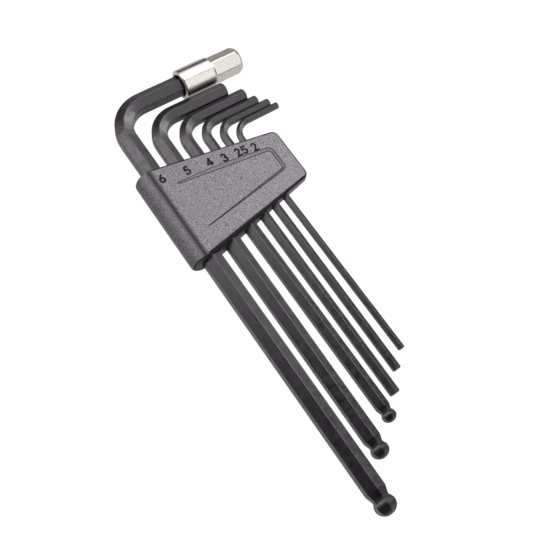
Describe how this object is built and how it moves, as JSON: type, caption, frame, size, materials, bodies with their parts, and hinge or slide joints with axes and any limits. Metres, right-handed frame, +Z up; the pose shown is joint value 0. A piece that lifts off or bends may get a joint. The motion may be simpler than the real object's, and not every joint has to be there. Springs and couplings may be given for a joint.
{
  "type": "hex key set",
  "caption": "L-shaped hex keys of graded sizes, the larger ones with ball ends, in a wedge-shaped moulded holder, with a hex adapter sleeve on the largest key.",
  "frame": {"origin": "under the middle of the whole set, on the surface that it lies on", "axes": "+X along the short arms towards their tips, +Y from the long arms' tips towards the bends, +Z up out of the numbered face"},
  "size_m": [0.0558, 0.1536, 0.0102],
  "materials": {
    "holder": "fine moulded grain",
    "black_steel": "black oxide, satin",
    "nickel": "satin nickel plate"
  },
  "bodies": {
    "root": {"holder": "holder", "key_6": "black_steel", "key_5": "black_steel", "key_4": "black_steel", "key_3": "black_steel", "key_2_5": "black_steel", "key_2": "black_steel", "adapter_8": "nickel"}
  },
  "joints": []
}
